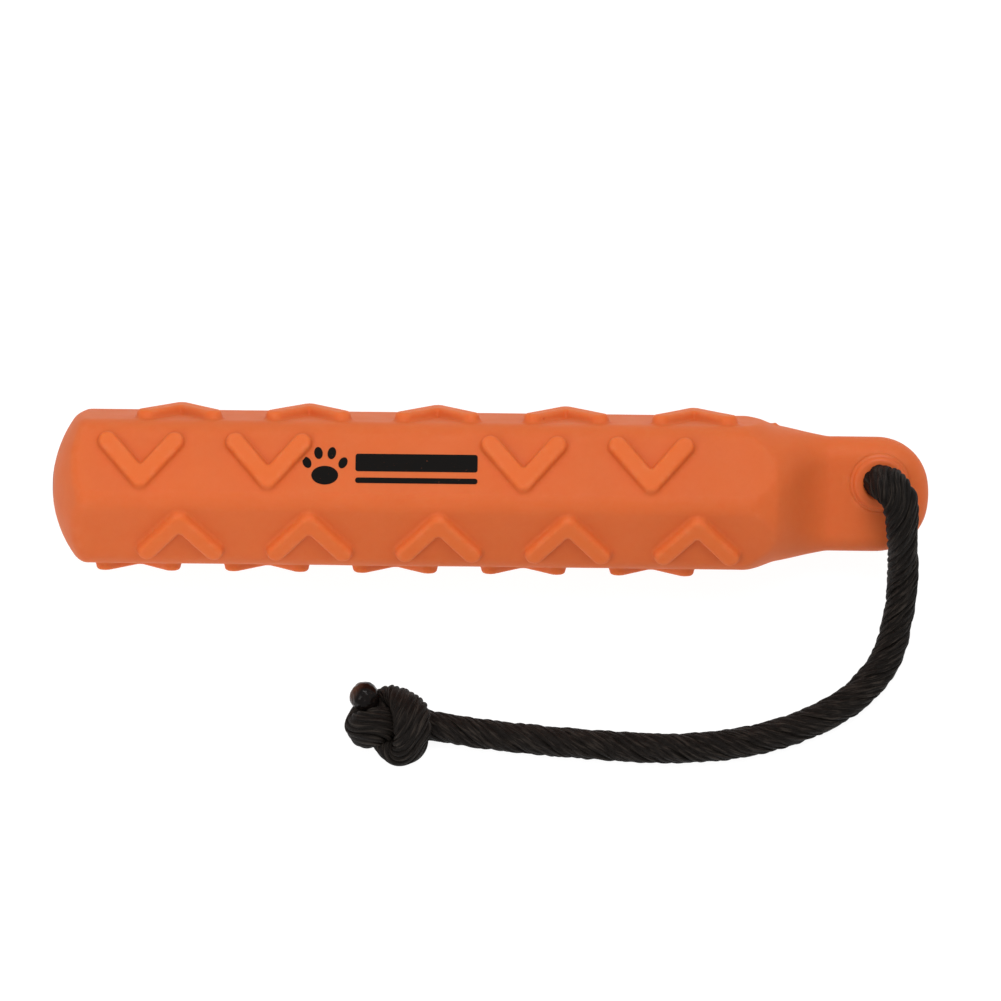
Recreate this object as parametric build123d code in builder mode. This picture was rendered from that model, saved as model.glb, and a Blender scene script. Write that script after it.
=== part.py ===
"""Training bumper: a hollow hexagonal vinyl float with chevron ribs, a rope tab and a throw rope.

Frame: +X runs from the closed nose to the rope tab, +Z is up, and the bumper lies on one flat of
its hexagon, on the tops of the ribs of that flat, with the floor at Z = 0. X = 0 is half way along.
All sizes are in millimetres.
"""
import os
from math import atan2, cos, degrees, hypot, pi, radians, sin, sqrt, tan

from build123d import *

# ---------------------------------------------------------------- driving dimensions
OVERALL_LENGTH = 304.8       # nose to tab end, 12 in
ACROSS_FLATS = 50.6          # hexagonal barrel, nominally 2 in
BARREL_CORNER = 8.0          # corner rounding of the hexagon
WALL = 3.0                   # moulded wall
NOSE_RADIUS = 41.0           # spherical nose
NOSE_EDGE = 4.5              # rounding where the nose meets the flats
NOSE_EDGE_REACH = (4, 16)    # that edge's least and greatest distance behind the nose

RIB_HEIGHT = 3.0             # chevron ribs
RIB_WIDTH = 7.3              # across an arm, where it meets the flat
RIB_SPAN = 30.3              # overall, along the barrel
RIB_RISE = 13.7              # from the ends of the arms' centre lines to the apex
RIB_DRAFT = 15.0             # degrees
RIB_EDGE = 1.3
RIB_ROOT = 0.8               # how far a rib is carried into the wall
RIBS_PER_FLAT = 5
TOP_ROW = (-120.4, 43.9)     # first rib and pitch of the top flat, a little closer round the print
FRONT_ROW = (-106.9, 44.6)   # of the upper flat toward -Y
UPRIGHT_ROW = (-107.9, 44.6) # of the other two flats whose ribs point the same way
INVERTED_ROW = (-122.1, 44.6)  # of the other two whose ribs point as the top flat's do
PRINT_PLACE = 2              # the rib of the top flat left out for the printed mark

BARREL_END = 87.0            # where the shoulder begins to cut the barrel down
FLATS_END = 98.5             # where the last of the flats runs out
TAB_THICKNESS = 15.2
TAB_WIDTH = 40.2
TAB_START = 109.0            # inside the shoulder
TAB_END_RADIUS = 31.0        # flat arc of the tab's end
TAB_CORNER = 18.0            # arcs that join it to the sides
TAB_ROUND = 7.5              # its edges, all but a full round
TAB_TILT = 60.0              # degrees above the horizon that the tab's front face looks, toward -Y

EYELET_FROM_END = 17.6       # rope eyelet, from the tab's end
EYELET_OFFSET = 5.2          # and from the tab's centre line
EYELET_BORE = 12.0
EYELET_BARREL = 15.0
EYELET_RIM = 20.4
EYELET_PROUD = 1.4           # how far the rim stands above the tab
EYELET_SUNK = 0.7            # how far its seat is let into the tab
EYELET_ROUND = 1.0           # rounding of its rim and of its mouth
SEAT_CLEARANCE = 0.05        # round the eyelet and the valve

VALVE_RIM = 12.0             # inflation valve in the nose
VALVE_RIM_DEPTH = 2.2
VALVE_STEM = 8.0
VALVE_BEAD = 10.0
VALVE_BEAD_LENGTH = 1.6
VALVE_TAIL = 6.0
VALVE_LENGTH = 11.6
VALVE_BOSS = 18.0            # thickened wall round it
VALVE_BOSS_DEPTH = 7.0
NEEDLE_BORE = 2.2            # takes a ball-pump needle
NEEDLE_DEPTH = 8.0

ROPE = 10.0                  # three-strand rope
MELTED_END = 10.0            # ball that each cut end is melted into
INK = 0.12                   # thickness of the printed mark
BAR_CORNER = 0.9             # of its plain bars

# ---------------------------------------------------------------- derived places
AXIS_Z = ACROSS_FLATS / 2 + RIB_HEIGHT
NOSE_X = -OVERALL_LENGTH / 2
TAB_END_X = OVERALL_LENGTH / 2
EYELET_X = TAB_END_X - EYELET_FROM_END
SEAT = TAB_THICKNESS / 2 - EYELET_SUNK
TAB_UP = Vector(0, sin(radians(TAB_TILT)), cos(radians(TAB_TILT)))
TAB_FRONT = Vector(0, -cos(radians(TAB_TILT)), sin(radians(TAB_TILT)))
TAB_PLANE = Plane(origin=(0, 0, AXIS_Z), x_dir=(1, 0, 0), z_dir=TAB_FRONT)
EYELET_PLANE = Plane(
    origin=Vector(EYELET_X, 0, AXIS_Z) + TAB_UP * EYELET_OFFSET,
    x_dir=(1, 0, 0),
    z_dir=TAB_FRONT,
)


def across(x):
    """Plane across the barrel at x, with its own x along the tab's width."""
    return Plane(origin=(x, 0, AXIS_Z), x_dir=TAB_UP, z_dir=(1, 0, 0))


def hexagon_across(x, wall=0.0):
    """Rounded hexagon of the barrel at x, or of its hollow, one wall inside it."""
    with BuildSketch(Plane(origin=(x, 0, AXIS_Z), x_dir=(0, 1, 0), z_dir=(1, 0, 0))) as outline:
        RegularPolygon(ACROSS_FLATS / 2 - wall, side_count=6, major_radius=False)
        fillet(outline.vertices(), radius=BARREL_CORNER - wall)
    return outline.sketch


def on_tab(x, up, front):
    """Point given by its place along, across and in front of the tab's middle plane."""
    return Vector(x, 0, AXIS_Z) + TAB_UP * up + TAB_FRONT * front


# ---------------------------------------------------------------- chevron rib, lying on XY
ARM_RUN = (RIB_SPAN - RIB_WIDTH) / 2
ARM_LENGTH = hypot(ARM_RUN, RIB_RISE)
ARM_ANGLE = degrees(atan2(RIB_RISE, ARM_RUN))
ROOT_WIDTH = RIB_WIDTH + 2 * RIB_ROOT * tan(radians(RIB_DRAFT))

with BuildPart() as rib:
    with BuildSketch(Plane.XY.offset(-RIB_ROOT)):
        for side in (-1, 1):
            with Locations((side * ARM_RUN / 2, 0)):
                SlotCenterToCenter(ARM_LENGTH, ROOT_WIDTH, rotation=-side * ARM_ANGLE)
    extrude(amount=RIB_ROOT + RIB_HEIGHT, taper=RIB_DRAFT)
    fillet(rib.edges().group_by(Axis.Z)[-1], radius=RIB_EDGE)

# the ribs of neighbouring flats point at each other across every second corner
ROWS = [TOP_ROW, FRONT_ROW, INVERTED_ROW, UPRIGHT_ROW, INVERTED_ROW, UPRIGHT_ROW]
rib_places = []
for flat, (first, pitch) in enumerate(ROWS):
    angle = radians(90 + 60 * flat)
    outward = Vector(0, cos(angle), sin(angle))
    turned = -1 if flat % 2 == 0 else 1
    for place in range(RIBS_PER_FLAT):
        if (flat, place) != (0, PRINT_PLACE):
            middle = Vector(first + pitch * place, 0, AXIS_Z) + outward * (ACROSS_FLATS / 2)
            rib_places.append(Plane(origin=middle, x_dir=(turned, 0, 0), z_dir=outward))

# ---------------------------------------------------------------- tab, before it joins the barrel
SIDE = TAB_WIDTH / 2
END_ARC_X = TAB_END_X - TAB_END_RADIUS
CORNER_UP = SIDE - TAB_CORNER
CORNER_X = END_ARC_X + sqrt((TAB_END_RADIUS - TAB_CORNER) ** 2 - CORNER_UP**2)
END_ARC_HALF = degrees(atan2(CORNER_UP, CORNER_X - END_ARC_X))

with BuildPart() as tab:
    with BuildSketch(TAB_PLANE):
        with BuildLine():
            Polyline((CORNER_X, -SIDE), (TAB_START, -SIDE), (TAB_START, SIDE), (CORNER_X, SIDE))
            CenterArc((CORNER_X, CORNER_UP), TAB_CORNER, 90, END_ARC_HALF - 90)
            CenterArc((END_ARC_X, 0), TAB_END_RADIUS, END_ARC_HALF, -2 * END_ARC_HALF)
            CenterArc((CORNER_X, -CORNER_UP), TAB_CORNER, -END_ARC_HALF, END_ARC_HALF - 90)
        make_face()
    extrude(amount=TAB_THICKNESS / 2, both=True)
    fillet(tab.faces().filter_by(TAB_PLANE).edges(), radius=TAB_ROUND)

# ---------------------------------------------------------------- shoulder, from barrel to tab
# each section: x, half size across the tab, half size through the tab, corner radius
CUT_DOWN = [(BARREL_END, 28.0, 29.2, 27.9), (FLATS_END, 23.5, 25.4, 23.4)]
RAMP = [CUT_DOWN[1], (104.5, 22.4, 18.2, 16.5), (110.5, 21.3, 11.0, 10.5), (117.0, 20.1, 7.6, 7.5)]
HOLLOW_RAMP = [(89.0, 22.2, 22.9, 22.0), (FLATS_END, 20.4, 21.6, 20.2),
               (104.0, 19.2, 15.0, 13.8), (109.5, 18.0, 8.2, 7.8)]


def outlines(sections):
    """Rounded rectangles that stand across the barrel, to loft through."""
    faces = []
    for x, half_up, half_front, corner in sections:
        with BuildSketch(across(x)) as outline:
            RectangleRounded(2 * half_up, 2 * half_front, corner)
        faces.append(outline.sketch.face())
    return faces


with BuildPart() as cut_down:
    loft(outlines(CUT_DOWN), ruled=True)
    extrude(hexagon_across(BARREL_END), amount=FLATS_END - BARREL_END, mode=Mode.INTERSECT)

with BuildPart() as ramp:
    loft(outlines(RAMP))

with BuildPart() as hollow:
    loft(outlines(HOLLOW_RAMP))
    extrude(hexagon_across(NOSE_X, WALL), amount=HOLLOW_RAMP[0][0] - NOSE_X)

with BuildPart() as nose_limit:
    with Locations((NOSE_X + NOSE_RADIUS, 0, AXIS_Z)):
        Sphere(NOSE_RADIUS)
    with BuildSketch(across(NOSE_X + NOSE_RADIUS)):
        Circle(NOSE_RADIUS)
    extrude(amount=OVERALL_LENGTH)

with BuildPart() as hollow_limit:
    with Locations((NOSE_X + NOSE_RADIUS, 0, AXIS_Z)):
        Sphere(NOSE_RADIUS - WALL)
    with BuildSketch(across(NOSE_X + NOSE_RADIUS)):
        Circle(NOSE_RADIUS - WALL)
    extrude(amount=OVERALL_LENGTH)

# ---------------------------------------------------------------- body shell
with BuildPart() as body_shell:
    extrude(hexagon_across(NOSE_X), amount=BARREL_END - NOSE_X)
    add(nose_limit.part, mode=Mode.INTERSECT)
    nearest, furthest = NOSE_EDGE_REACH
    nose_edges = body_shell.edges().filter_by_position(Axis.X, NOSE_X + nearest, NOSE_X + furthest)
    fillet(nose_edges, radius=NOSE_EDGE)
    add(cut_down.part)
    add(ramp.part)
    add(tab.part)
    with Locations(*rib_places):
        add(rib.part)
    # hollow inside, closed at the nose round the valve
    add(hollow.part & hollow_limit.part, mode=Mode.SUBTRACT)
    with BuildSketch(across(NOSE_X + WALL / 2)):
        Circle(VALVE_BOSS / 2)
    extrude(amount=VALVE_BOSS_DEPTH - WALL / 2)
    with BuildSketch(across(NOSE_X)):
        Circle(VALVE_STEM / 2 + SEAT_CLEARANCE)
    extrude(amount=VALVE_BOSS_DEPTH, mode=Mode.SUBTRACT)
    with BuildSketch(across(NOSE_X)):
        Circle(VALVE_RIM / 2 + SEAT_CLEARANCE)
    extrude(amount=VALVE_RIM_DEPTH, mode=Mode.SUBTRACT)
    # eyelet seat
    with BuildSketch(EYELET_PLANE):
        Circle(EYELET_BARREL / 2 + SEAT_CLEARANCE)
    extrude(amount=TAB_THICKNESS, both=True, mode=Mode.SUBTRACT)
    for way in (-1, 1):
        with BuildSketch(EYELET_PLANE.offset(way * SEAT)):
            Circle(EYELET_RIM / 2 + SEAT_CLEARANCE)
        extrude(amount=way * TAB_THICKNESS / 2, mode=Mode.SUBTRACT)

# ---------------------------------------------------------------- rope eyelet, pressed into the tab
EYELET_TOP = SEAT + EYELET_SUNK + EYELET_PROUD

with BuildPart() as rope_eyelet:
    with BuildSketch(Plane(origin=EYELET_PLANE.origin, x_dir=(1, 0, 0), z_dir=-TAB_UP)) as eyelet_half:
        with BuildLine():
            Polyline(
                (EYELET_BORE / 2, -EYELET_TOP),
                (EYELET_RIM / 2, -EYELET_TOP),
                (EYELET_RIM / 2, -SEAT),
                (EYELET_BARREL / 2, -SEAT),
                (EYELET_BARREL / 2, SEAT),
                (EYELET_RIM / 2, SEAT),
                (EYELET_RIM / 2, EYELET_TOP),
                (EYELET_BORE / 2, EYELET_TOP),
                close=True,
            )
        make_face()
        rims = eyelet_half.vertices().filter_by(lambda v: abs(v.Y) > EYELET_TOP - EYELET_SUNK)
        fillet(rims, radius=EYELET_ROUND)
    revolve(axis=Axis(EYELET_PLANE.origin, TAB_FRONT))

# ---------------------------------------------------------------- inflation valve in the nose
with BuildPart() as needle_valve:
    for end, diameter in (
        (VALVE_RIM_DEPTH, VALVE_RIM),
        (VALVE_BOSS_DEPTH, VALVE_STEM),
        (VALVE_LENGTH, VALVE_TAIL),
    ):
        with BuildSketch(across(NOSE_X)):
            Circle(diameter / 2)
        extrude(amount=end)
    with BuildSketch(across(NOSE_X + VALVE_BOSS_DEPTH)):
        Circle(VALVE_BEAD / 2)
    extrude(amount=VALVE_BEAD_LENGTH)
    add(nose_limit.part, mode=Mode.INTERSECT)
    with BuildSketch(across(NOSE_X)):
        Circle(NEEDLE_BORE / 2)
    extrude(amount=NEEDLE_DEPTH, mode=Mode.SUBTRACT)

# ---------------------------------------------------------------- throw rope
# from inside the stopper knot, through the eyelet, over the tab's lower edge and along the floor
ROPE_ROUTE = [
    on_tab(134.4, 3.6, -20.0),
    on_tab(134.9, 5.5, 8.0),
    on_tab(138.6, 2.4, 15.6),
    on_tab(142.2, -6.2, 19.3),
    on_tab(143.6, -15.2, 16.0),
    Vector(144.4, -26.4, 25.6),
    Vector(144.0, -34.8, 18.4),
    Vector(142.3, -43.9, 12.2),
    Vector(138.9, -53.4, 7.9),
    Vector(132.6, -62.4, 5.6),
    Vector(122.0, -71.4, 5.0),
    Vector(104.5, -79.8, 5.0),
    Vector(84.5, -84.9, 5.0),
    Vector(62.0, -86.6, 5.0),
    Vector(38.0, -85.3, 5.0),
    Vector(14.0, -83.5, 5.0),
    Vector(-6.0, -81.3, 5.0),
    Vector(-24.0, -78.2, 5.0),
]


def bend_radii(route):
    """Largest arc at each corner: 0.45 of its shorter run over the tangent of half the turn."""
    radii = []
    for before, here, after in zip(route, route[1:], route[2:]):
        arriving, leaving = here - before, after - here
        half_turn = radians(arriving.get_angle(leaving)) / 2
        radii.append(0.45 * min(arriving.length, leaving.length) / tan(half_turn))
    return radii


ROPE_RADII = bend_radii(ROPE_ROUTE)

with BuildPart() as throw_rope:
    with BuildLine() as rope_line:
        rope_path = FilletPolyline(*ROPE_ROUTE, radius=ROPE_RADII)
    with BuildSketch(Plane(origin=rope_line.line @ 0, z_dir=rope_line.line % 0)):
        Circle(ROPE / 2)
    sweep()

# ---------------------------------------------------------------- knots, pulled tight
# each lobe: its middle and its radius
THROW_KNOT_LOBES = [
    (Vector(-43.4, -80.8, 7.2), 7.2),
    (Vector(-35.5, -79.0, 9.6), 9.0),
    (Vector(-30.0, -77.6, 9.6), 9.6),
    (Vector(-36.4, -73.6, 8.4), 7.2),
    (Vector(-29.4, -85.2, 8.2), 8.2),
]
STOPPER_KNOT_LOBES = [
    (on_tab(129.8, 5.0, -18.2), 9.1),
    (on_tab(138.8, 3.4, -18.4), 9.3),
    (on_tab(134.2, 3.8, -22.2), 8.8),
]
LOBE_TURN = (30, 40, 0)      # keeps the lobes' poles out of the creases between them

with BuildPart() as throw_knot:
    for middle, radius in THROW_KNOT_LOBES:
        with Locations(middle):
            Sphere(radius, rotation=LOBE_TURN)
    add(throw_rope.part, mode=Mode.SUBTRACT)

with BuildPart() as stopper_knot:
    for middle, radius in STOPPER_KNOT_LOBES:
        with Locations(middle):
            Sphere(radius, rotation=LOBE_TURN)
    add(throw_rope.part, mode=Mode.SUBTRACT)

# the cut ends, melted into balls that stand clear of their knots
with BuildPart() as throw_knot_tip:
    with Locations((-42.8, -70.5, 11.0)):
        Sphere(MELTED_END / 2, rotation=LOBE_TURN)
    add(throw_knot.part, mode=Mode.SUBTRACT)

with BuildPart() as stopper_knot_tip:
    with Locations(on_tab(126.4, 7.4, -27.4)):
        Sphere(MELTED_END / 2, rotation=LOBE_TURN)
    add(stopper_knot.part, mode=Mode.SUBTRACT)

# ---------------------------------------------------------------- printed mark on the top flat
# a paw and two plain bars: each pad is its middle, its half sizes and its turn in degrees
PAW_PADS = [
    ((-57.0, -4.5), 4.6, 3.4, 0),
    ((-63.2, 0.1), 1.45, 2.1, 24),
    ((-59.3, 3.6), 1.45, 2.2, 8),
    ((-54.7, 3.6), 1.45, 2.2, -8),
    ((-50.8, 0.1), 1.45, 2.1, -24),
]
# each bar is its middle, its length and its height
BARS = [((-25.5, 0.3), 42.0, 6.4), ((-25.5, -6.2), 42.0, 2.0)]

with BuildPart() as printed_mark:
    with BuildSketch(Plane.XY.offset(AXIS_Z + ACROSS_FLATS / 2)):
        for middle, half_width, half_height, turn in PAW_PADS:
            with Locations(middle):
                Ellipse(half_width, half_height, rotation=turn)
        for middle, length, height in BARS:
            with Locations(middle):
                RectangleRounded(length, height, BAR_CORNER)
    extrude(amount=INK)

# ---------------------------------------------------------------- write the nodes
NODES = {
    "body_shell": body_shell,
    "rope_eyelet": rope_eyelet,
    "needle_valve": needle_valve,
    "throw_rope": throw_rope,
    "throw_knot": throw_knot,
    "throw_knot_tip": throw_knot_tip,
    "stopper_knot": stopper_knot,
    "stopper_knot_tip": stopper_knot_tip,
    "printed_mark": printed_mark,
}
os.makedirs("parts", exist_ok=True)
for name, node in NODES.items():
    node.part.label = name
    export_step(node.part, f"parts/{name}.step")

print("rope length", round(rope_path.length, 1))
print("rope bend radii", [round(radius, 1) for radius in ROPE_RADII])
print("rope volume over section times length",
      round(throw_rope.part.volume / (rope_path.length * pi * ROPE**2 / 4), 4))
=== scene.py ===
"""Looks of the training bumper: soft orange vinyl float, eyelet, valve, laid rope and its knots.

Everything is in metres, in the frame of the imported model: +X from the nose to the rope tab, +Z up, the
floor at Z = 0. The float lies on one flat of its hexagon.
"""

from math import cos, pi, radians, sin, sqrt

import bmesh
import bpy
import numpy as np
from mathutils import Matrix, Vector, noise


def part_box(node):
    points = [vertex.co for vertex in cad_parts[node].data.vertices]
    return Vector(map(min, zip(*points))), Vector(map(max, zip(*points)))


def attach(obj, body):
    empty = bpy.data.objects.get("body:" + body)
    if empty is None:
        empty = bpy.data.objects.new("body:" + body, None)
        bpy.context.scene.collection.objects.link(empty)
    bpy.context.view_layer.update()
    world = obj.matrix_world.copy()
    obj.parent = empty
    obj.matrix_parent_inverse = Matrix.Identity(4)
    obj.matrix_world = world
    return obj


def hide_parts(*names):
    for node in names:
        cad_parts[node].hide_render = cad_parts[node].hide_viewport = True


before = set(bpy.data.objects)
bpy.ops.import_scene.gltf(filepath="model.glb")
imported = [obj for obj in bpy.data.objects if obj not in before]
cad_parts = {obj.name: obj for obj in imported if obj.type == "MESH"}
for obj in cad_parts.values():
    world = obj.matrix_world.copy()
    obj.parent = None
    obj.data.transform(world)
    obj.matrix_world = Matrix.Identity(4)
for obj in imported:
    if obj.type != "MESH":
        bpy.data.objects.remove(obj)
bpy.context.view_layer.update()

# ---------------------------------------------------------------- places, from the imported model
float_low, float_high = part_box("body_shell")
valve_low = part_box("needle_valve")[0]
print_low, print_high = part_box("printed_mark")
AXIS_Z = (float_low.z + float_high.z) / 2
NOSE_X = valve_low.x
FLAT_Z = print_low.z                     # the flat that carries the print
APOTHEM = FLAT_Z - AXIS_Z
RIB_HEIGHT = float_high.z - FLAT_Z
TAB_TILT = radians(60)                   # how far above the horizon the tab's front face looks
TAB_UP = Vector((0, sin(TAB_TILT), cos(TAB_TILT)))
TAB_FRONT = Vector((0, -cos(TAB_TILT), sin(TAB_TILT)))


def on_tab(x, up, front):
    """Point given by its place along, across and in front of the tab's middle plane."""
    return Vector((x, 0, AXIS_Z)) + TAB_UP * up + TAB_FRONT * front


# ---------------------------------------------------------------- camera
VIEW_ELEVATION = radians(70.3)
VIEW_ROLL = radians(0.64)
PICTURE_WIDTH = 0.3485                   # what the picture spans at the float
LENS, SENSOR = 200.0, 36.0
LOOK_AT = Vector((0.0035, -0.0035, AXIS_Z - 0.00125))


def make_camera():
    """Long lens from the front and above, rolled a little."""
    back = Vector((0, -cos(VIEW_ELEVATION), sin(VIEW_ELEVATION)))
    up = Vector((0, sin(VIEW_ELEVATION), cos(VIEW_ELEVATION)))
    right = Vector((1, 0, 0))
    turned_right = right * cos(VIEW_ROLL) + up * sin(VIEW_ROLL)
    turned_up = up * cos(VIEW_ROLL) - right * sin(VIEW_ROLL)
    data = bpy.data.cameras.new("camera")
    data.lens, data.sensor_width = LENS, SENSOR
    data.clip_start, data.clip_end = 0.05, 20
    camera = bpy.data.objects.new("camera", data)
    bpy.context.scene.collection.objects.link(camera)
    turn = Matrix((turned_right, turned_up, back)).transposed()
    place = LOOK_AT + back * (PICTURE_WIDTH * LENS / SENSOR)
    camera.matrix_world = Matrix.Translation(place) @ turn.to_4x4()
    bpy.context.scene.camera = camera


make_camera()


# ---------------------------------------------------------------- materials
def new_material(name):
    """Material with a Principled shader, its node tree and that shader."""
    material = bpy.data.materials.new(name)
    material.use_nodes = True
    tree = material.node_tree
    return material, tree, tree.nodes["Principled BSDF"]


def add_node(tree, kind, inputs=(), **settings):
    """Node of that kind, with its settings and its inputs: a value, or a socket to link from."""
    node = tree.nodes.new(kind)
    for name, value in settings.items():
        setattr(node, name, value)
    for name, value in dict(inputs).items():
        if isinstance(value, bpy.types.NodeSocket):
            tree.links.new(value, node.inputs[name])
        else:
            node.inputs[name].default_value = value
    return node


def noise_of(tree, coordinate, scale, detail, roughness=0.5):
    inputs = {"Vector": coordinate, "Scale": scale, "Detail": detail, "Roughness": roughness}
    return add_node(tree, "ShaderNodeTexNoise", inputs).outputs["Fac"]


def remap(tree, value, low, high, to_low=0.0, to_high=1.0):
    inputs = {"Value": value, "From Min": low, "From Max": high, "To Min": to_low, "To Max": to_high}
    return add_node(tree, "ShaderNodeMapRange", inputs).outputs["Result"]


def math_of(tree, operation, first, second):
    """Result of the operation: each operand is a value or a socket."""
    node = tree.nodes.new("ShaderNodeMath")
    node.operation = operation
    for socket, value in zip(node.inputs, (first, second)):
        if isinstance(value, bpy.types.NodeSocket):
            tree.links.new(value, socket)
        else:
            socket.default_value = value
    return node.outputs[0]


def mix_colour(tree, factor, first, second):
    """Colour between first and second: each is a colour or a socket."""
    node = tree.nodes.new("ShaderNodeMix")
    node.data_type = "RGBA"
    for place, value in ((0, factor), (6, first), (7, second)):
        if isinstance(value, bpy.types.NodeSocket):
            tree.links.new(value, node.inputs[place])
        elif place == 0:
            node.inputs[place].default_value = value
        else:
            node.inputs[place].default_value = (*value, 1)
    return node.outputs[2]


def bump_of(tree, height, strength, distance, normal=None):
    inputs = {"Height": height, "Strength": strength, "Distance": distance}
    if normal is not None:
        inputs["Normal"] = normal
    return add_node(tree, "ShaderNodeBump", inputs).outputs["Normal"]


def attribute_of(tree, name, output="Fac"):
    return add_node(tree, "ShaderNodeAttribute", attribute_name=name).outputs[output]


def object_place(tree):
    return add_node(tree, "ShaderNodeTexCoord").outputs["Object"]


def vinyl_material(name, colour, rib_glow_colour, roughness):
    """Soft moulded vinyl: cloudy colour, ribs painted lighter for light glowing through the thick vinyl,
    pale scuffs on worn edges with a painted highlight on them, painted shade in the creases.
    """
    material, tree, shader = new_material(name)
    place = object_place(tree)
    clouds = remap(tree, noise_of(tree, place, 38.0, 4.0, 0.55), 0.3, 0.7)
    mottle = remap(tree, noise_of(tree, place, 420.0, 3.0, 0.6), 0.3, 0.7)
    darker = tuple(channel * 0.95 for channel in colour)
    base = mix_colour(tree, clouds, darker, colour)
    # painted light: the ribs are painted a little lighter and more saturated, standing in for light
    # glowing through the thicker vinyl
    base = mix_colour(tree, attribute_of(tree, "raised"), base, rib_glow_colour)
    speck = remap(tree, mottle, 0.0, 1.0, 0.0, 0.06)
    base = mix_colour(tree, speck, base, (0.80, 0.24, 0.09))
    # painted shade: the vinyl is painted darker in the creases, where shade falls
    crease_shade = math_of(tree, "MULTIPLY", attribute_of(tree, "crease_shade"), 0.09)
    base = mix_colour(tree, crease_shade, base, (0.56, 0.085, 0.018))
    # pale scuffs on the convex edges: partly real wear, partly a painted highlight along the edges; the
    # roughness rise below is wear alone
    scuffs = remap(tree, noise_of(tree, place, 160.0, 5.0, 0.7), 0.45, 0.75)
    edge_wear_and_highlight = math_of(tree, "MULTIPLY", attribute_of(tree, "edge"), scuffs)
    base = mix_colour(tree, math_of(tree, "MULTIPLY", edge_wear_and_highlight, 0.22), base, (0.80, 0.30, 0.15))
    tree.links.new(base, shader.inputs["Base Color"])
    wear = noise_of(tree, place, 90.0, 4.0, 0.6)
    rough = remap(tree, wear, 0.3, 0.7, roughness - 0.05, roughness + 0.05)
    rough = math_of(tree, "ADD", rough, math_of(tree, "MULTIPLY", edge_wear_and_highlight, 0.12))
    tree.links.new(rough, shader.inputs["Roughness"])
    pebble = bump_of(tree, noise_of(tree, place, 900.0, 2.0, 0.5), 0.25, 0.00006)
    grain = bump_of(tree, noise_of(tree, place, 3600.0, 2.0, 0.6), 0.22, 0.00002, pebble)
    tree.links.new(grain, shader.inputs["Normal"])
    shader.inputs["Specular IOR Level"].default_value = 0.22
    shader.inputs["Subsurface Weight"].default_value = 0.30
    shader.inputs["Subsurface Radius"].default_value = (1.0, 0.35, 0.12)
    shader.inputs["Subsurface Scale"].default_value = 0.0022
    return material


def rope_material():
    """Black multifilament: fine filaments along each yarn, painted glints of highlight along the yarns,
    dusty brown in places.
    """
    material, tree, shader = new_material("black_rope")
    lay = attribute_of(tree, "lay", "Vector")
    place = object_place(tree)
    filaments = noise_of(tree, lay, 5.5, 3.0, 0.65)
    strands = noise_of(tree, lay, 1.7, 2.0, 0.5)
    tone = remap(tree, filaments, 0.32, 0.72)
    base = mix_colour(tree, tone, (0.0020, 0.0015, 0.0013), (0.0120, 0.0092, 0.0076))
    # painted highlight: lighter brown glints along the yarns
    glints = remap(tree, strands, 0.50, 0.68)
    base = mix_colour(tree, glints, base, (0.038, 0.0300, 0.0245))
    fading = remap(tree, noise_of(tree, place, 70.0, 3.0, 0.6), 0.35, 0.75, 0.0, 0.30)
    base = mix_colour(tree, fading, base, (0.018, 0.0120, 0.0090))
    tree.links.new(base, shader.inputs["Base Color"])
    tree.links.new(remap(tree, strands, 0.3, 0.7, 0.50, 0.66), shader.inputs["Roughness"])
    clumps = noise_of(tree, place, 1100.0, 3.0, 0.6)
    yarn_bump = bump_of(tree, clumps, 0.8, 0.0005, bump_of(tree, strands, 0.9, 0.0006))
    tree.links.new(bump_of(tree, filaments, 0.9, 0.00025, yarn_bump), shader.inputs["Normal"])
    shader.inputs["Specular IOR Level"].default_value = 0.11
    return material


def melted_material():
    """Rope end fused by a flame: dark, glossy, reddish brown on the side where the melt is thin."""
    material, tree, shader = new_material("melted_rope_end")
    place = object_place(tree)
    patches = remap(tree, noise_of(tree, place, 260.0, 4.0, 0.6), 0.35, 0.65, 0.45, 1.0)
    thin = math_of(tree, "MULTIPLY", attribute_of(tree, "cap"), patches)
    specks = remap(tree, noise_of(tree, place, 900.0, 3.0, 0.7), 0.55, 0.75)
    base = mix_colour(tree, thin, (0.0055, 0.0040, 0.0036), (0.066, 0.032, 0.0205))
    base = mix_colour(tree, math_of(tree, "MULTIPLY", specks, 0.30), base, (0.055, 0.028, 0.020))
    tree.links.new(base, shader.inputs["Base Color"])
    tree.links.new(remap(tree, thin, 0, 1, 0.16, 0.36), shader.inputs["Roughness"])
    skin = bump_of(tree, noise_of(tree, place, 520.0, 4.0, 0.6), 0.5, 0.00025)
    tree.links.new(skin, shader.inputs["Normal"])
    shader.inputs["Specular IOR Level"].default_value = 0.14
    return material


def ink_material():
    """Pad-printed black ink, of uneven density and rubbed through in pinholes."""
    material, tree, shader = new_material("black_ink")
    place = object_place(tree)
    density = remap(tree, noise_of(tree, place, 300.0, 4.0, 0.6), 0.3, 0.7)
    base = mix_colour(tree, density, (0.0022, 0.0018, 0.0016), (0.0058, 0.0044, 0.0036))
    pinholes = remap(tree, noise_of(tree, place, 1500.0, 3.0, 0.7), 0.70, 0.76)
    base = mix_colour(tree, pinholes, base, (0.42, 0.11, 0.04))
    tree.links.new(base, shader.inputs["Base Color"])
    tree.links.new(remap(tree, density, 0, 1, 0.50, 0.62), shader.inputs["Roughness"])
    film = bump_of(tree, noise_of(tree, place, 2200.0, 3.0, 0.6), 0.3, 0.00003)
    tree.links.new(film, shader.inputs["Normal"])
    shader.inputs["Specular IOR Level"].default_value = 0.06
    return material


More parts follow.
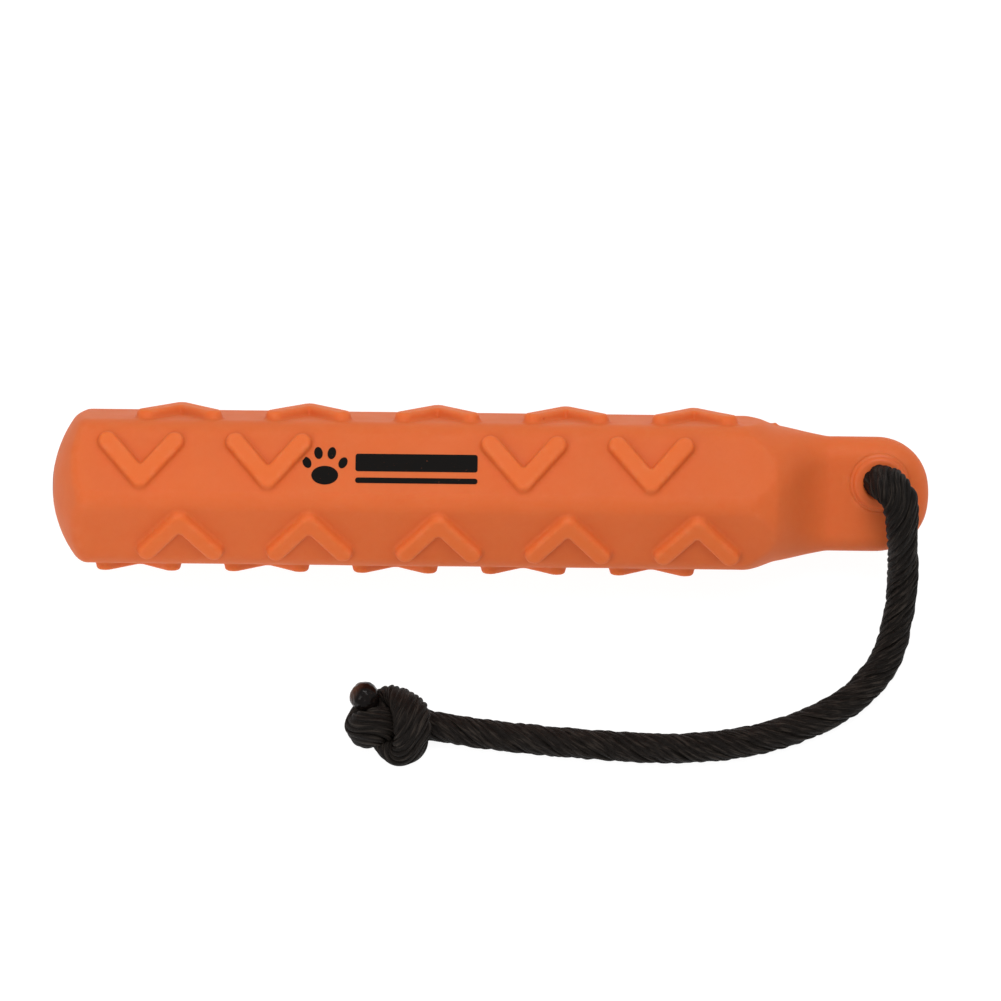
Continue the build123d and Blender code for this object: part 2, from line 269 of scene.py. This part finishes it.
def rubber_material():
    """Dark self-sealing rubber with bloom and moulding grain."""
    material, tree, shader = new_material("valve_rubber")
    place = object_place(tree)
    bloom = remap(tree, noise_of(tree, place, 420.0, 5.0, 0.65), 0.4, 0.7)
    base = mix_colour(tree, bloom, (0.020, 0.018, 0.017), (0.052, 0.048, 0.045))
    tree.links.new(base, shader.inputs["Base Color"])
    tree.links.new(remap(tree, bloom, 0, 1, 0.45, 0.68), shader.inputs["Roughness"])
    grain = bump_of(tree, noise_of(tree, place, 3000.0, 3.0, 0.6), 0.4, 0.00005)
    tree.links.new(grain, shader.inputs["Normal"])
    return material


FLOOR_GLOW = 0.92                        # light that the floor gives off by itself


def floor_material():
    """Back-lit white table, so that the part casts almost no shadow on it."""
    material, tree, shader = new_material("pale_floor")
    place = object_place(tree)
    tone = remap(tree, noise_of(tree, place, 6.0, 2.0), 0.3, 0.7)
    base = mix_colour(tree, tone, (0.17, 0.17, 0.17), (0.19, 0.19, 0.19))
    tree.links.new(base, shader.inputs["Base Color"])
    shader.inputs["Roughness"].default_value = 0.8
    shader.inputs["Specular IOR Level"].default_value = 0.0
    shader.inputs["Emission Color"].default_value = (1, 1, 1, 1)
    shader.inputs["Emission Strength"].default_value = FLOOR_GLOW
    return material


VINYL = vinyl_material("orange_vinyl", (0.700, 0.138, 0.030), (0.735, 0.147, 0.028), 0.62)
EYELET_VINYL = vinyl_material("eyelet_orange", (0.690, 0.138, 0.033), (0.690, 0.138, 0.033), 0.40)
ROPE_BLACK = rope_material()
MELTED = melted_material()
INK = ink_material()
VALVE_RUBBER = rubber_material()


# ---------------------------------------------------------------- meshes
def add_object(name, mesh, material, smooth=True):
    mesh.materials.clear()
    mesh.materials.append(material)
    if smooth:
        mesh.shade_smooth()
    piece = bpy.data.objects.new(name, mesh)
    bpy.context.scene.collection.objects.link(piece)
    return piece


def mesh_from(name, points, faces):
    mesh = bpy.data.meshes.new(name)
    mesh.from_pydata([tuple(p) for p in points], [], faces)
    mesh.update()
    return mesh


def store(mesh, name, values, kind="FLOAT"):
    """Values, one for each vertex, kept on the mesh for its material to read."""
    attribute = mesh.attributes.new(name, kind, "POINT")
    key = "vector" if kind == "FLOAT_VECTOR" else "value"
    attribute.data.foreach_set(key, np.ascontiguousarray(values, np.float32).ravel())


def vertices_of(mesh):
    points = np.zeros(len(mesh.vertices) * 3, np.float32)
    mesh.vertices.foreach_get("co", points)
    return points.reshape(-1, 3).astype(float)


def apply_modifiers(piece):
    """Bakes the piece's modifiers into its mesh."""
    graph = bpy.context.evaluated_depsgraph_get()
    made = bpy.data.meshes.new_from_object(piece.evaluated_get(graph), depsgraph=graph)
    piece.modifiers.clear()
    piece.data = made


LATHE_STEPS = 128                        # faces round a turned piece


def lathe(name, profile, origin, axis, side, material):
    """Ring turned from a closed profile of (distance from the axis, place along it)."""
    axis, side = axis.normalized(), side.normalized()
    other = axis.cross(side)
    points, faces = [], []
    count = len(profile)
    for step in range(LATHE_STEPS):
        angle = 2 * pi * step / LATHE_STEPS
        outward = side * cos(angle) + other * sin(angle)
        points += [origin + outward * radius + axis * along for radius, along in profile]
    for step in range(LATHE_STEPS):
        here, there = step * count, (step + 1) % LATHE_STEPS * count
        for i in range(count):
            j = (i + 1) % count
            faces.append((here + i, here + j, there + j, there + i))
    mesh = mesh_from(name, points, faces)
    work = bmesh.new()
    work.from_mesh(mesh)
    bmesh.ops.remove_doubles(work, verts=work.verts, dist=1e-7)
    bmesh.ops.recalc_face_normals(work, faces=work.faces)
    work.to_mesh(mesh)
    work.free()
    for flag in ("raised", "crease_shade", "edge"):  # which the vinyl reads
        store(mesh, flag, np.zeros(len(mesh.vertices)))
    return add_object(name, mesh, material)


def arc(middle, radius, start, end, steps):
    """Points of an arc in a profile, from start to end in degrees."""
    turns = [radians(start + (end - start) * i / steps) for i in range(steps + 1)]
    return [(middle[0] + radius * cos(t), middle[1] + radius * sin(t)) for t in turns]


# ---------------------------------------------------------------- rope
EYELET_MIDDLE = on_tab(0.1348, 0.0052, 0.0)
EYELET_HALF = 0.0090                     # from its middle to the top of its crown
EYELET_BORE = 0.0052                     # radius of its mouth, which the rope fills
MELTED_END = 0.0100                      # diameter of the ball that each cut end is melted into
THIN_SIDE = Vector((-0.86, 0.50, 0.06))  # where the flame left the melt thin and brown
KNOT_STEPS, ROPE_STEPS = 18, 40          # points read from the curve, for each control point
ROPE_SEED = 7
STRANDS = 3
STRAND_YARNS = 4                         # that show on the surface of one strand
YARNS = STRANDS * STRAND_YARNS
YARN_RADIUS = 0.0017
YARN_PLACE = 0.00335                     # of its middle, from the rope's middle
YARN_POINTS = 8                          # of the section, from groove to groove
WAVE_COUNT, SWAY_COUNT = 4, 2            # waves that swell each yarn, and that push it aside
YARN_WAVE, YARN_SWAY = 0.060, 0.16       # how strong they are: share of the radius, and radians
RIDGE_IN_BEND = 0.03                     # how much the yarns stand out in a bend
WAVE_LENGTHS, SWAY_LENGTHS = (0.004, 0.020), (0.020, 0.050)
UNEVEN_TWIST, UNEVEN_LENGTH = 0.10, 0.083  # how unevenly the rope is laid, and over what length
YARN_TWIST = 0.030                       # one turn of a yarn in itself
YARN_APART = 5                           # keeps the looks of the yarns different
STRAND_GROOVE = 0.0006                   # how much deeper the groove between strands is
FULLNESS = 1.03                          # soft rope stands a little over its nominal size
LAY_LENGTH = 0.044                       # one turn of a strand, right-handed
CURVE_SPAN = 0.006                       # how far along the rope its bend is averaged
OPEN_BEND = 40.0                         # curvature at which the yarns are half opened up
SWELL = 0.10                             # how much the laid yarns open up in a bend
TIGHTER_LAY = 0.40                       # how much shorter the lay gets in a bend
FLATTEN = 0.38                           # how much the rope flattens over the tightest bends
FLAT_FROM, FLAT_RANGE = 35.0, 40.0       # curvature where that starts, and how much more is full
END_TAPER, END_DRAWN = 0.35, 0.008       # the rope is drawn in where its end is melted
LAY_DETAIL = 120.0                       # how often the filaments' look changes along a yarn, per metre
FULL_IN_BORE = 1.16                      # its size where it fills the eyelet
MOUTH_FADE = 0.003                       # stretch over which it fills out towards the eyelet
MOUTH_REACH = 0.004                      # how far outside the crown that stretch begins
FLOOR_GAP = 0.00002                      # under the flat that its weight presses into it

# from inside the stopper knot, through the eyelet, over the tab's lower edge and along the floor
ROPE_ROUTE = [
    on_tab(0.1343, 0.0038, -0.0200),
    on_tab(0.1342, 0.0060, 0.0092),
    on_tab(0.1374, 0.0068, 0.0186),
    on_tab(0.1415, 0.0016, 0.0226),
    on_tab(0.1420, -0.0096, 0.0206),
    Vector((0.1435, -0.0264, 0.0256)),
    Vector((0.1433, -0.0348, 0.0184)),
    Vector((0.1417, -0.0439, 0.0122)),
    Vector((0.1389, -0.0534, 0.0079)),
    Vector((0.1326, -0.0624, 0.0056)),
    Vector((0.1220, -0.0714, 0.0050)),
    Vector((0.1045, -0.0798, 0.0050)),
    Vector((0.0845, -0.0849, 0.0050)),
    Vector((0.0620, -0.0866, 0.0050)),
    Vector((0.0380, -0.0853, 0.0050)),
    Vector((0.0140, -0.0835, 0.0050)),
    Vector((-0.0060, -0.0813, 0.0050)),
    Vector((-0.0240, -0.0782, 0.0050)),
]

# the knot at the hand end, from where the rope enters it to the melted end
THROW_KNOT_ROUTE = [
    ROPE_ROUTE[-1],
    Vector((-0.0315, -0.0772, 0.0054)),
    Vector((-0.0370, -0.0808, 0.0122)),
    Vector((-0.0421, -0.0827, 0.0126)),
    Vector((-0.0449, -0.0820, 0.0064)),
    Vector((-0.0406, -0.0740, 0.0052)),
    Vector((-0.0323, -0.0706, 0.0060)),
    Vector((-0.0271, -0.0744, 0.0154)),
    Vector((-0.0258, -0.0830, 0.0176)),
    Vector((-0.0272, -0.0902, 0.0085)),
    Vector((-0.0325, -0.0875, 0.0052)),
    Vector((-0.0385, -0.0770, 0.0065)),
    Vector((-0.0417, -0.0728, 0.0122)),
]
THROW_KNOT_END = Vector((-0.0427, -0.0716, 0.0142))

# the stopper behind the tab, from its melted end to where the rope leaves it
STOPPER_KNOT_ROUTE = [
    on_tab(0.1264, 0.0074, -0.0274),
    on_tab(0.1310, 0.0020, -0.0285),
    on_tab(0.1370, -0.0040, -0.0240),
    on_tab(0.1330, -0.0060, -0.0180),
    on_tab(0.1255, -0.0010, -0.0160),
    on_tab(0.1260, 0.0085, -0.0150),
    on_tab(0.1345, 0.0125, -0.0140),
    on_tab(0.1425, 0.0085, -0.0150),
    on_tab(0.1440, 0.0020, -0.0210),
    on_tab(0.1395, 0.0010, -0.0265),
    on_tab(0.1344, 0.0030, -0.0260),
    ROPE_ROUTE[0],
]


def line_of(name, route, resolution):
    """Points along the smooth curve that has the route's points as its control points."""
    data = bpy.data.curves.new(name, "CURVE")
    data.dimensions = "3D"
    data.resolution_u = resolution
    spline = data.splines.new("NURBS")
    spline.points.add(len(route) - 1)
    for point, place in zip(spline.points, route):
        point.co = (*place, 1)
    spline.order_u = 3
    spline.use_endpoint_u = True
    curve = bpy.data.objects.new(name, data)
    mesh = bpy.data.meshes.new_from_object(curve)
    points = vertices_of(mesh)
    bpy.data.objects.remove(curve)
    bpy.data.meshes.remove(mesh)
    return points


def frames_along(points):
    """Distance, tangent and two crosswise directions at each point, carried along without twist."""
    steps = np.diff(points, axis=0)
    lengths = np.linalg.norm(steps, axis=1)
    distance = np.concatenate([[0], np.cumsum(lengths)])
    tangents = np.gradient(points, distance, axis=0)
    tangents /= np.linalg.norm(tangents, axis=1)[:, None]
    first = np.cross(tangents[0], (0.3, 0.5, 0.8))
    normals = [first / np.linalg.norm(first)]
    for tangent in tangents[1:]:
        carried = normals[-1] - tangent * (normals[-1] @ tangent)
        normals.append(carried / np.linalg.norm(carried))
    normals = np.array(normals)
    return distance, tangents, normals, np.cross(tangents, normals)


def section_of_rope():
    """Angle, radius, yarn and angle round that yarn, at each point of the rope's section."""
    rows = []
    half = pi / YARNS
    for yarn in range(YARNS):
        for i in range(YARN_POINTS):
            off = half * (2 * i / YARN_POINTS - 1)
            reach = sqrt(YARN_RADIUS**2 - (YARN_PLACE * sin(off)) ** 2)
            radius = YARN_PLACE * cos(off) + reach
            if yarn % STRAND_YARNS == 0:
                radius -= STRAND_GROOVE * (1 - i / YARN_POINTS) ** 3
            if yarn % STRAND_YARNS == STRAND_YARNS - 1:
                radius -= STRAND_GROOVE * (i / YARN_POINTS) ** 3
            rows.append((2 * half * yarn + off, radius, yarn, off / half * pi / 2))
    return np.array(rows).T


def cumulative(distance, rate):
    """Running total of a rate along the rope."""
    steps = np.diff(distance) * (rate[1:] + rate[:-1]) / 2
    return np.concatenate([[0], np.cumsum(steps)])


def bends_along(distance, tangents):
    """Curvature vector at each point, averaged over a short span of the rope."""
    bends = np.gradient(tangents, distance, axis=0)
    near = np.exp(-((distance[:, None] - distance[None, :]) / CURVE_SPAN) ** 2)
    near *= np.gradient(distance)[None, :]
    return near @ bends / near.sum(axis=1)[:, None]


def share_in_bore(point):
    """How far this place is inside the eyelet, from 0 outside to 1 inside."""
    away = point - np.array(EYELET_MIDDLE)
    along = abs(away @ np.array(TAB_FRONT))
    if np.linalg.norm(away) > 2 * EYELET_HALF:
        return 0.0
    return float(np.clip((EYELET_HALF + MOUTH_REACH - along) / MOUTH_FADE, 0, 1))


def tube_faces(rings, count):
    """Faces of a closed tube: its rings one after another, then the middles of its two ends."""
    faces = []
    for ring in range(rings - 1):
        here, there = ring * count, (ring + 1) * count
        for j in range(count):
            k = (j + 1) % count
            faces.append((here + j, here + k, there + k, there + j))
    start, end = rings * count, rings * count + 1
    top = (rings - 1) * count
    for j in range(count):
        k = (j + 1) % count
        faces.append((start, k, j))
        faces.append((end, top + j, top + k))
    return faces


def rope_skin(name, points, frames, first, last):
    """Closed skin of the laid rope between two of the points, all its yarns in one mesh."""
    distance, tangents, normals, binormals = frames
    bends = bends_along(distance, tangents)
    bend_sizes = np.linalg.norm(bends, axis=1)
    opened = bend_sizes / (bend_sizes + OPEN_BEND)
    turns = 2 * pi / LAY_LENGTH * cumulative(distance, 1 / (1 - TIGHTER_LAY * opened))
    angle, radius, yarn, round_yarn = section_of_rope()
    rng = np.random.default_rng(ROPE_SEED)
    wave_length = rng.uniform(*WAVE_LENGTHS, (YARNS, WAVE_COUNT))
    wave_phase = rng.uniform(0, 2 * pi, (YARNS, WAVE_COUNT))
    sway_length = rng.uniform(*SWAY_LENGTHS, (YARNS, SWAY_COUNT))
    sway_phase = rng.uniform(0, 2 * pi, (YARNS, SWAY_COUNT))
    count = len(angle)
    rows, lay = [], []
    yarn_index = yarn.astype(int)
    for i in range(first, last + 1):
        place = distance[i]
        waves = np.sin(2 * pi * place / wave_length + wave_phase).sum(axis=1)[yarn_index] / WAVE_COUNT
        sways = np.sin(2 * pi * place / sway_length + sway_phase).sum(axis=1)[yarn_index] / SWAY_COUNT
        ridge = np.cos(round_yarn)
        turn = angle + turns[i] + UNEVEN_TWIST * sin(2 * pi * place / UNEVEN_LENGTH)
        turn = turn + YARN_SWAY * sways * ridge
        across = np.cos(turn)[:, None] * normals[i] + np.sin(turn)[:, None] * binormals[i]
        inside = share_in_bore(points[i])
        reach = FULLNESS * radius * (1 + YARN_WAVE * waves + RIDGE_IN_BEND * opened[i] * ridge)
        reach = reach * (1 + (FULL_IN_BORE / FULLNESS - 1) * inside + (1 - inside) * SWELL * opened[i])
        flat = (1 - inside) * FLATTEN * min(1.0, max(0.0, (bend_sizes[i] - FLAT_FROM) / FLAT_RANGE))
        toward = (across @ bends[i]) / (bend_sizes[i] + 1e-9)
        reach = reach * (1 + flat * (0.5 - toward**2))
        to_end = min(place, distance[-1] - place)
        reach = reach * (1 - END_TAPER * max(0.0, 1 - to_end / END_DRAWN))
        ring = points[i] + reach[:, None] * across
        ring[:, 2] = np.maximum(ring[:, 2], FLOOR_GAP)
        rows.append(ring)
        own_turn = round_yarn + 2 * pi * place / YARN_TWIST
        along = np.full(count, place * LAY_DETAIL)
        lay.append(np.stack([np.cos(own_turn) + YARN_APART * yarn, np.sin(own_turn), along], axis=1))
    vertices = np.concatenate(rows + [points[[first, last]]])
    mesh = mesh_from(name, vertices, tube_faces(len(rows), count))
    store(mesh, "lay", np.concatenate(lay + [lay[0][:1], lay[-1][:1]]), "FLOAT_VECTOR")
    return add_object(name, mesh, ROPE_BLACK)


def melted_ball(name, middle, towards, thin_side, seed):
    """Rope end melted into a lumpy ball, a little drawn out towards the rope, brown where it is thin."""
    work = bmesh.new()
    bmesh.ops.create_icosphere(work, subdivisions=5, radius=1.0)
    offset = Vector((seed * 3.1, seed * 1.7, seed * 5.3))
    cap = []
    for vertex in work.verts:
        out = vertex.co.normalized()
        lumps = noise.noise(out * 1.6 + offset) * 0.06 + noise.noise(out * 4.5 + offset) * 0.03
        dimples = -0.05 * max(0.0, noise.noise(out * 7.0 - offset) - 0.25)
        neck = max(0.0, out.dot(towards)) ** 3 * 0.10
        vertex.co = out * (MELTED_END / 2) * (1.04 + lumps + dimples + neck) + middle
        cap.append(min(1.0, max(0.0, (out.dot(thin_side) - 0.30) / 0.45)))
    mesh = bpy.data.meshes.new(name)
    work.to_mesh(mesh)
    work.free()
    store(mesh, "cap", cap)
    return add_object(name, mesh, MELTED)


def make_rope():
    """Rope from melted end to melted end as three skins on one line, and the two balls."""
    stopper_line = line_of("stopper_line", STOPPER_KNOT_ROUTE, KNOT_STEPS)
    rope_line = line_of("rope_line", ROPE_ROUTE, ROPE_STEPS)
    throw_line = line_of("throw_line", THROW_KNOT_ROUTE, KNOT_STEPS)
    whole = np.concatenate([stopper_line, rope_line[1:], throw_line[1:]])
    frames = frames_along(whole)
    enters = len(stopper_line) - 1
    leaves = enters + len(rope_line) - 1
    stopper = rope_skin("stopper_knot_rope", whole, frames, 0, enters)
    rope = rope_skin("laid_throw_rope", whole, frames, enters, leaves)
    throw = rope_skin("throw_knot_rope", whole, frames, leaves, len(whole) - 1)
    throw_tip = melted_ball("throw_knot_melted_end", THROW_KNOT_END,
                            (THROW_KNOT_ROUTE[-2] - THROW_KNOT_END).normalized(), THIN_SIDE, 2)
    stopper_tip = melted_ball("stopper_knot_melted_end", STOPPER_KNOT_ROUTE[0],
                              (STOPPER_KNOT_ROUTE[1] - STOPPER_KNOT_ROUTE[0]).normalized(),
                              -THIN_SIDE, 5)
    for piece, node, slot in (
        (stopper, "stopper_knot", "rope"),
        (rope, "throw_rope", "rope"),
        (throw, "throw_knot", "rope"),
        (throw_tip, "throw_knot_tip", "melted_rope"),
        (stopper_tip, "stopper_knot_tip", "melted_rope"),
    ):
        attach(piece, "root")
        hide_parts(node)


make_rope()


# ---------------------------------------------------------------- float
VOXEL = 0.0005                           # size of the cells that the skin is remeshed with
WAVINESS = 0.00012                       # how far the moulded skin strays from its true shape
PARTING_X = 0.0988                       # ring where the two halves of the mould met
SHOULDER = (0.080, 0.126)                # stretch whose creases the mould has rounded off
SHOULDER_FADE = 0.006                    # over which the softening starts and stops
SHOULDER_ROUNDS = 220                    # rounds of softening there
SHOULDER_STEPS = (0.60, -0.61)           # shares moved inwards and back out in each of them
EDGE_ROUNDS = 38                         # rounds of softening for every other edge
EDGE_STEPS = (0.50, -0.52)
FLASH_ANGLE = radians(19.7)              # of a nub of flash on that ring, above the horizon at the back
FLASH_NUB = (0.0010, 0.0014, 0.0007)     # its reach along the float and round it, and its height
BARREL_END = 0.087                       # beyond the last ribs
CALM_MARGIN = 0.008                      # round the print, where the waviness fades out
FULL_MARK = VOXEL * 0.035                # rise over the neighbours that counts as a full edge
MAX_TRIANGLES = 190_000                  # of the skin, once it is thinned

# closes the valve's seat, hidden in the plug round its needle hole: distance from the axis, and depth
VALVE_CUP = [(0.0020, 0.0018), (0.0055, 0.0018), (0.0055, 0.0105), (0.0, 0.0105), (0.0, 0.0085),
             (0.0020, 0.0085)]


def moulded_mesh():
    """The shell, closed in the valve's seat, remeshed finely enough for soft moulded edges."""
    shell = bpy.data.meshes.new_from_object(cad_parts["body_shell"])
    work = bmesh.new()
    work.from_mesh(shell)
    cup = lathe("valve_cup", VALVE_CUP, Vector((NOSE_X, 0, AXIS_Z)), Vector((1, 0, 0)),
                Vector((0, 1, 0)), VINYL)
    work.from_mesh(cup.data)
    bpy.data.objects.remove(cup)
    joined = bpy.data.meshes.new("float")
    work.to_mesh(joined)
    work.free()
    piece = add_object("moulded_float", joined, VINYL)
    remesh = piece.modifiers.new("remesh", "REMESH")
    remesh.mode, remesh.voxel_size, remesh.adaptivity = "VOXEL", VOXEL, 0.0
    apply_modifiers(piece)
    return piece


def keep_outer_skin(mesh):
    """Drops the walls of the hollow, which nothing can see."""
    work = bmesh.new()
    work.from_mesh(mesh)
    work.verts.ensure_lookup_table()
    island = np.full(len(work.verts), -1)
    best, best_reach = -1, -1.0
    label = 0
    for start in work.verts:
        if island[start.index] >= 0:
            continue
        stack, reach = [start], 0.0
        island[start.index] = label
        while stack:
            vertex = stack.pop()
            reach = max(reach, vertex.co.z)
            for edge in vertex.link_edges:
                other = edge.other_vert(vertex)
                if island[other.index] < 0:
                    island[other.index] = label
                    stack.append(other)
        if reach > best_reach:
            best, best_reach = label, reach
        label += 1
    gone = [v for v in work.verts if island[v.index] != best]
    bmesh.ops.delete(work, geom=gone, context="VERTS")
    work.to_mesh(mesh)
    work.free()


def neighbour_average(values, edges, count):
    """Mean of each vertex's neighbours."""
    total = np.zeros_like(values)
    np.add.at(total, edges[:, 0], values[edges[:, 1]])
    np.add.at(total, edges[:, 1], values[edges[:, 0]])
    return total / count[:, None]


def edges_of(mesh):
    pairs = np.zeros(len(mesh.edges) * 2, np.int32)
    mesh.edges.foreach_get("vertices", pairs)
    pairs = pairs.reshape(-1, 2)
    count = np.bincount(pairs.ravel(), minlength=len(mesh.vertices)).astype(float)
    return pairs, count


def set_vertices(mesh, points):
    mesh.vertices.foreach_set("co", np.ascontiguousarray(points, np.float32).ravel())
    mesh.update()


def relax(points, pairs, count, rounds):
    """Softens edges without shrinking: each round moves points in, then back out a little more."""
    for _ in range(rounds):
        for step in EDGE_STEPS:
            points = points + step * (neighbour_average(points, pairs, count) - points)
    return points


def soften_shoulder(points, pairs):
    """Runs the flats and the ramp into each other: many more rounds, on the shoulder alone."""
    place = points[:, 0]
    share = np.clip((place - SHOULDER[0]) / SHOULDER_FADE, 0, 1)
    share = share * np.clip((SHOULDER[1] - place) / SHOULDER_FADE, 0, 1)
    chosen = np.flatnonzero(share > 0)
    lookup = np.full(len(points), -1)
    lookup[chosen] = np.arange(len(chosen))
    inner = lookup[pairs]
    inner = inner[(inner >= 0).all(axis=1)]
    count = np.maximum(np.bincount(inner.ravel(), minlength=len(chosen)), 1).astype(float)
    local = points[chosen]
    weight = share[chosen][:, None]
    for _ in range(SHOULDER_ROUNDS):
        for step in SHOULDER_STEPS:
            local = local + step * weight * (neighbour_average(local, inner, count) - local)
    softened = points.copy()
    softened[chosen] = local
    return softened


def waves_at(point):
    return noise.noise(point * 32.0) * 0.7 + noise.noise(point * 75.0) * 0.3


def wavy(mesh, points):
    """Moves the skin in and out by a hair, less round the print, and raises a nub of flash."""
    normals = np.zeros(len(mesh.vertices) * 3, np.float32)
    mesh.vertices.foreach_get("normal", normals)
    normals = normals.reshape(-1, 3)
    waves = np.array([waves_at(Vector(p)) for p in points])
    past_x = np.maximum(print_low.x - points[:, 0], points[:, 0] - print_high.x)
    past_y = np.maximum(print_low.y - points[:, 1], points[:, 1] - print_high.y)
    past = np.maximum(past_x, past_y)
    calm = np.where(points[:, 2] > AXIS_Z, np.clip(past / CALM_MARGIN, 0, 1), 1.0)
    turn = np.arctan2(points[:, 2] - AXIS_Z, points[:, 1]) - FLASH_ANGLE
    along, around, height = FLASH_NUB
    off = ((points[:, 0] - PARTING_X) / along) ** 2 + (turn * APOTHEM / around) ** 2
    nub = height * np.exp(-off)
    return points + normals * (WAVINESS * waves * calm + nub)[:, None]


def raised_share(points):
    """How far each point stands up on a rib, from 0 on the flat to 1 on the rib's top."""
    furthest = np.full(len(points), -1.0)
    for flat in range(6):
        angle = radians(90 + 60 * flat)
        out = points[:, 1] * cos(angle) + (points[:, 2] - AXIS_Z) * sin(angle)
        furthest = np.maximum(furthest, out)
    share = (furthest - APOTHEM) / RIB_HEIGHT
    return np.clip(share, 0, 1) * (points[:, 0] < BARREL_END)


def curvature_marks(points, normals, pairs, count):
    """Edges, for wear and a painted highlight, and creases, for painted shade: how far each vertex
    stands above or below its neighbours.
    """
    rise = ((points - neighbour_average(points, pairs, count)) * normals).sum(axis=1)
    for _ in range(3):
        rise = neighbour_average(rise[:, None], pairs, count)[:, 0] * 0.7 + rise * 0.3
    return np.clip(rise / FULL_MARK, 0, 1), np.clip(-rise / FULL_MARK, 0, 1)


def make_float():
    """Float with its edges softened, its flaws put in and its marks stored for the material."""
    piece = moulded_mesh()
    mesh = piece.data
    keep_outer_skin(mesh)
    pairs, count = edges_of(mesh)
    points = relax(vertices_of(mesh), pairs, count, EDGE_ROUNDS)
    points = soften_shoulder(points, pairs)
    set_vertices(mesh, points)
    points = wavy(mesh, points)
    set_vertices(mesh, points)
    normals = np.zeros(len(mesh.vertices) * 3, np.float32)
    mesh.vertices.foreach_get("normal", normals)
    edge, crease_shade = curvature_marks(points, normals.reshape(-1, 3), pairs, count)
    store(mesh, "raised", raised_share(points))
    # the edge share lightens the vinyl for wear and a painted highlight; the crease share paints shade
    # into it
    store(mesh, "edge", edge)
    store(mesh, "crease_shade", crease_shade)
    triangles = 2 * len(mesh.polygons)
    if triangles > MAX_TRIANGLES:
        thin = piece.modifiers.new("thin", "DECIMATE")
        thin.ratio = MAX_TRIANGLES / triangles
        apply_modifiers(piece)
    piece.data.shade_smooth()
    piece.data.materials.clear()
    piece.data.materials.append(VINYL)
    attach(piece, "root")
    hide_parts("body_shell")


make_float()


# ---------------------------------------------------------------- eyelet
def make_eyelet():
    """Ring with a thin flange on the tab and a rounded crown, the same on both faces."""
    front = [(EYELET_BORE, 0.0078)]
    front += arc((EYELET_BORE + 0.0011, 0.0079), 0.0011, 180, 90, 8)[1:]
    front += arc((0.0077, 0.0074), 0.0016, 90, 20, 8)
    front += [(0.0093, 0.00785), (0.0098, 0.0077), (0.0102, 0.0074), (0.0105, 0.0069)]
    front += [(0.0106, 0.0064), (0.0075, 0.0064)]
    back = [(radius, -along) for radius, along in reversed(front)]
    ring = lathe("rope_eyelet_ring", front + back, EYELET_MIDDLE, TAB_FRONT, Vector((1, 0, 0)),
                 EYELET_VINYL)
    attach(ring, "root")
    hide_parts("rope_eyelet")


make_eyelet()


# ---------------------------------------------------------------- valve
def make_valve():
    """Rubber plug in the nose: dished round the needle hole, with its bead and tail inside the shell."""
    outside = [(0.0011, 0.0080), (0.0011, 0.0006), (0.0013, 0.00035), (0.0017, 0.00025),
               (0.0021, 0.0004), (0.0028, 0.00055), (0.0042, 0.0006), (0.0048, 0.00045),
               (0.0052, 0.00035), (0.0056, 0.00042), (0.0059, 0.0006), (0.0060, 0.0009)]
    inside = [(0.0060, 0.0022), (0.0040, 0.0022), (0.0040, 0.0070), (0.0048, 0.0070),
              (0.0050, 0.0073), (0.0050, 0.0083), (0.0047, 0.0086), (0.0030, 0.0086),
              (0.0030, 0.0112), (0.0026, 0.0116), (0.0, 0.0116), (0.0, 0.0080)]
    plug = lathe("needle_valve_plug", outside + inside, Vector((NOSE_X, 0, AXIS_Z)), Vector((1, 0, 0)),
                 Vector((0, 1, 0)), VALVE_RUBBER)
    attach(plug, "root")
    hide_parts("needle_valve")


make_valve()


# ---------------------------------------------------------------- printed mark
printed_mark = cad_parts["printed_mark"]
for material_slot in printed_mark.material_slots:
    material_slot.material = INK


# ---------------------------------------------------------------- studio
SKY = 0.515                              # even light from all round
LIGHT_COLOUR = (1.0, 0.99, 0.98)


def make_floor():
    """Square of table under the origin."""
    half = 3.0
    mesh = mesh_from("floor", [(-half, -half, 0), (half, -half, 0), (half, half, 0), (-half, half, 0)],
                     [(0, 1, 2, 3)])
    floor = add_object("floor", mesh, floor_material(), smooth=False)


def make_light(name, place, aim, size, power):
    data = bpy.data.lights.new(name, "AREA")
    data.shape, data.size, data.size_y = "RECTANGLE", *size
    data.energy, data.color = power, LIGHT_COLOUR
    light = bpy.data.objects.new(name, data)
    bpy.context.scene.collection.objects.link(light)
    light.location = place
    light.visible_camera = False
    light.rotation_euler = (Vector(aim) - Vector(place)).to_track_quat("-Z", "Y").to_euler()


def make_studio():
    """Broad light from above, a weak one beside the nose, and even light from all round."""
    make_floor()
    make_light("key", place=(0.15, 0.33, 1.45), aim=(0.03, 0, 0), size=(0.9, 0.7), power=10.5)
    make_light("side", place=(-0.25, -0.27, 0.37), aim=(-0.05, 0, 0.03), size=(0.22, 0.22),
               power=0.48)
    world = bpy.data.worlds.new("studio")
    world.use_nodes = True
    background = world.node_tree.nodes["Background"]
    background.inputs["Color"].default_value = (1, 1, 1, 1)
    background.inputs["Strength"].default_value = SKY
    bpy.context.scene.world = world
    bpy.context.scene.view_settings.view_transform = "Standard"


make_studio()
